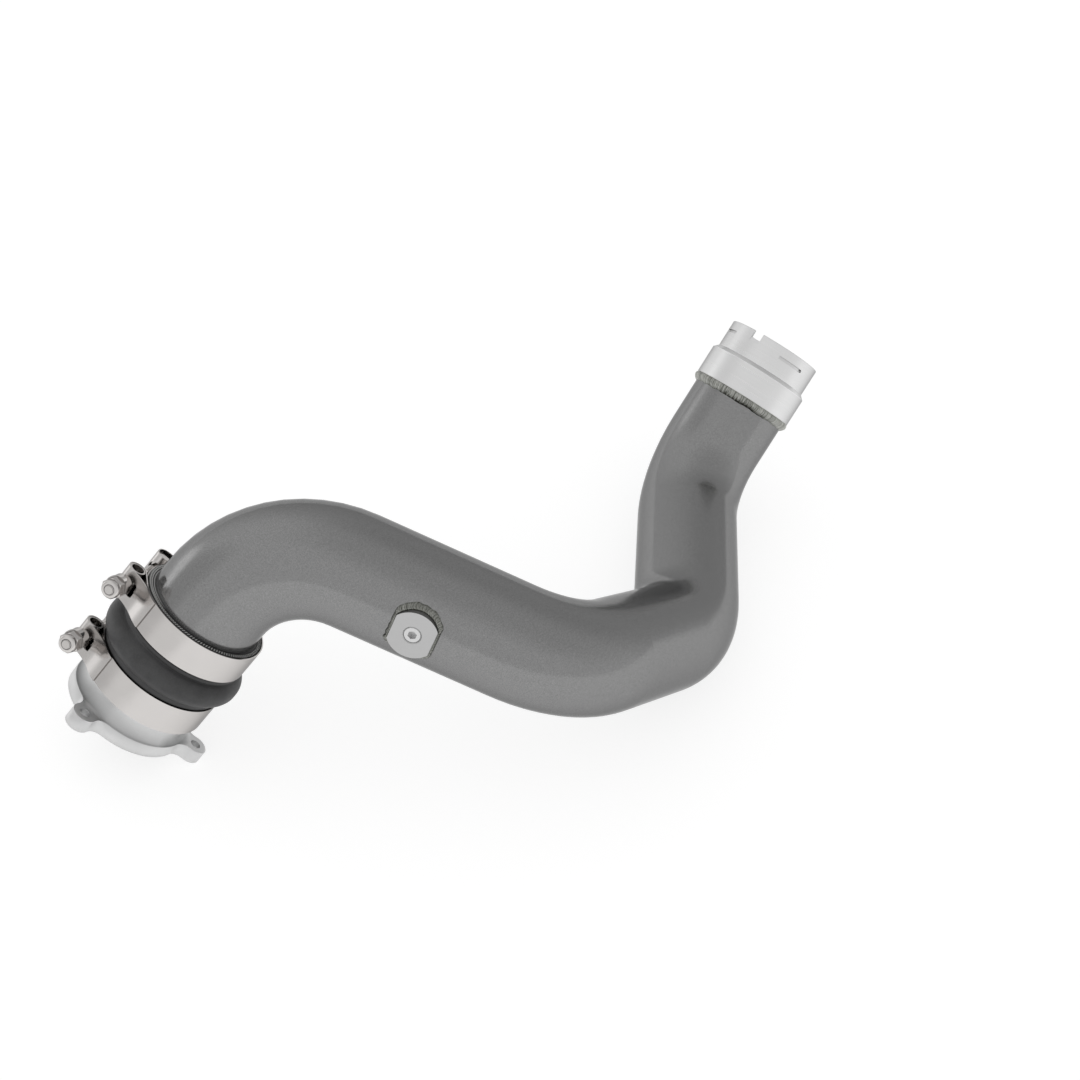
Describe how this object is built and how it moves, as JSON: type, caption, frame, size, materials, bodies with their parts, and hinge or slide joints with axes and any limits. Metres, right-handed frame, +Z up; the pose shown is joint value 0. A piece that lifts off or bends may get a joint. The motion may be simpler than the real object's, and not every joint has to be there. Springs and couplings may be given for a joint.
{
  "type": "intercooler charge pipe",
  "caption": "Bent satin-coated intercooler charge pipe with a quick-connect spigot, a plugged sensor bung, and a clamped hump hose with a bolt-on flange.",
  "frame": {"origin": "centre of the bounding box's base, on the surface the pipe lies on", "axes": "+Z up as the pipe lies at rest, +X level from the flange end towards the spigot end"},
  "size_m": [0.5698, 0.2291, 0.1657],
  "materials": {
    "coated_aluminium": "satin",
    "bare_aluminium": "satin",
    "weld": "satin",
    "bright_steel": "polished",
    "plain_steel": "satin",
    "silicone": "matte",
    "seal_rubber": "matte"
  },
  "bodies": {
    "root": {"charge_pipe": "coated_aluminium", "quick_connect_end": "bare_aluminium", "end_weld": "weld", "sensor_bung": "bare_aluminium", "bung_weld": "weld", "bung_plug": "plain_steel", "hump_hose": "silicone", "flange_adapter": "bare_aluminium", "flange_seal": "seal_rubber", "upper_clamp_band": "bright_steel", "upper_clamp_tongue": "bright_steel", "upper_clamp_trunnion": "bright_steel", "upper_clamp_bolt": "bright_steel", "upper_clamp_spacer": "bright_steel", "upper_clamp_washer": "bright_steel", "upper_clamp_nut": "bright_steel", "lower_clamp_band": "bright_steel", "lower_clamp_tongue": "bright_steel", "lower_clamp_trunnion": "bright_steel", "lower_clamp_bolt": "bright_steel", "lower_clamp_spacer": "bright_steel", "lower_clamp_washer": "bright_steel", "lower_clamp_nut": "bright_steel"}
  },
  "joints": []
}
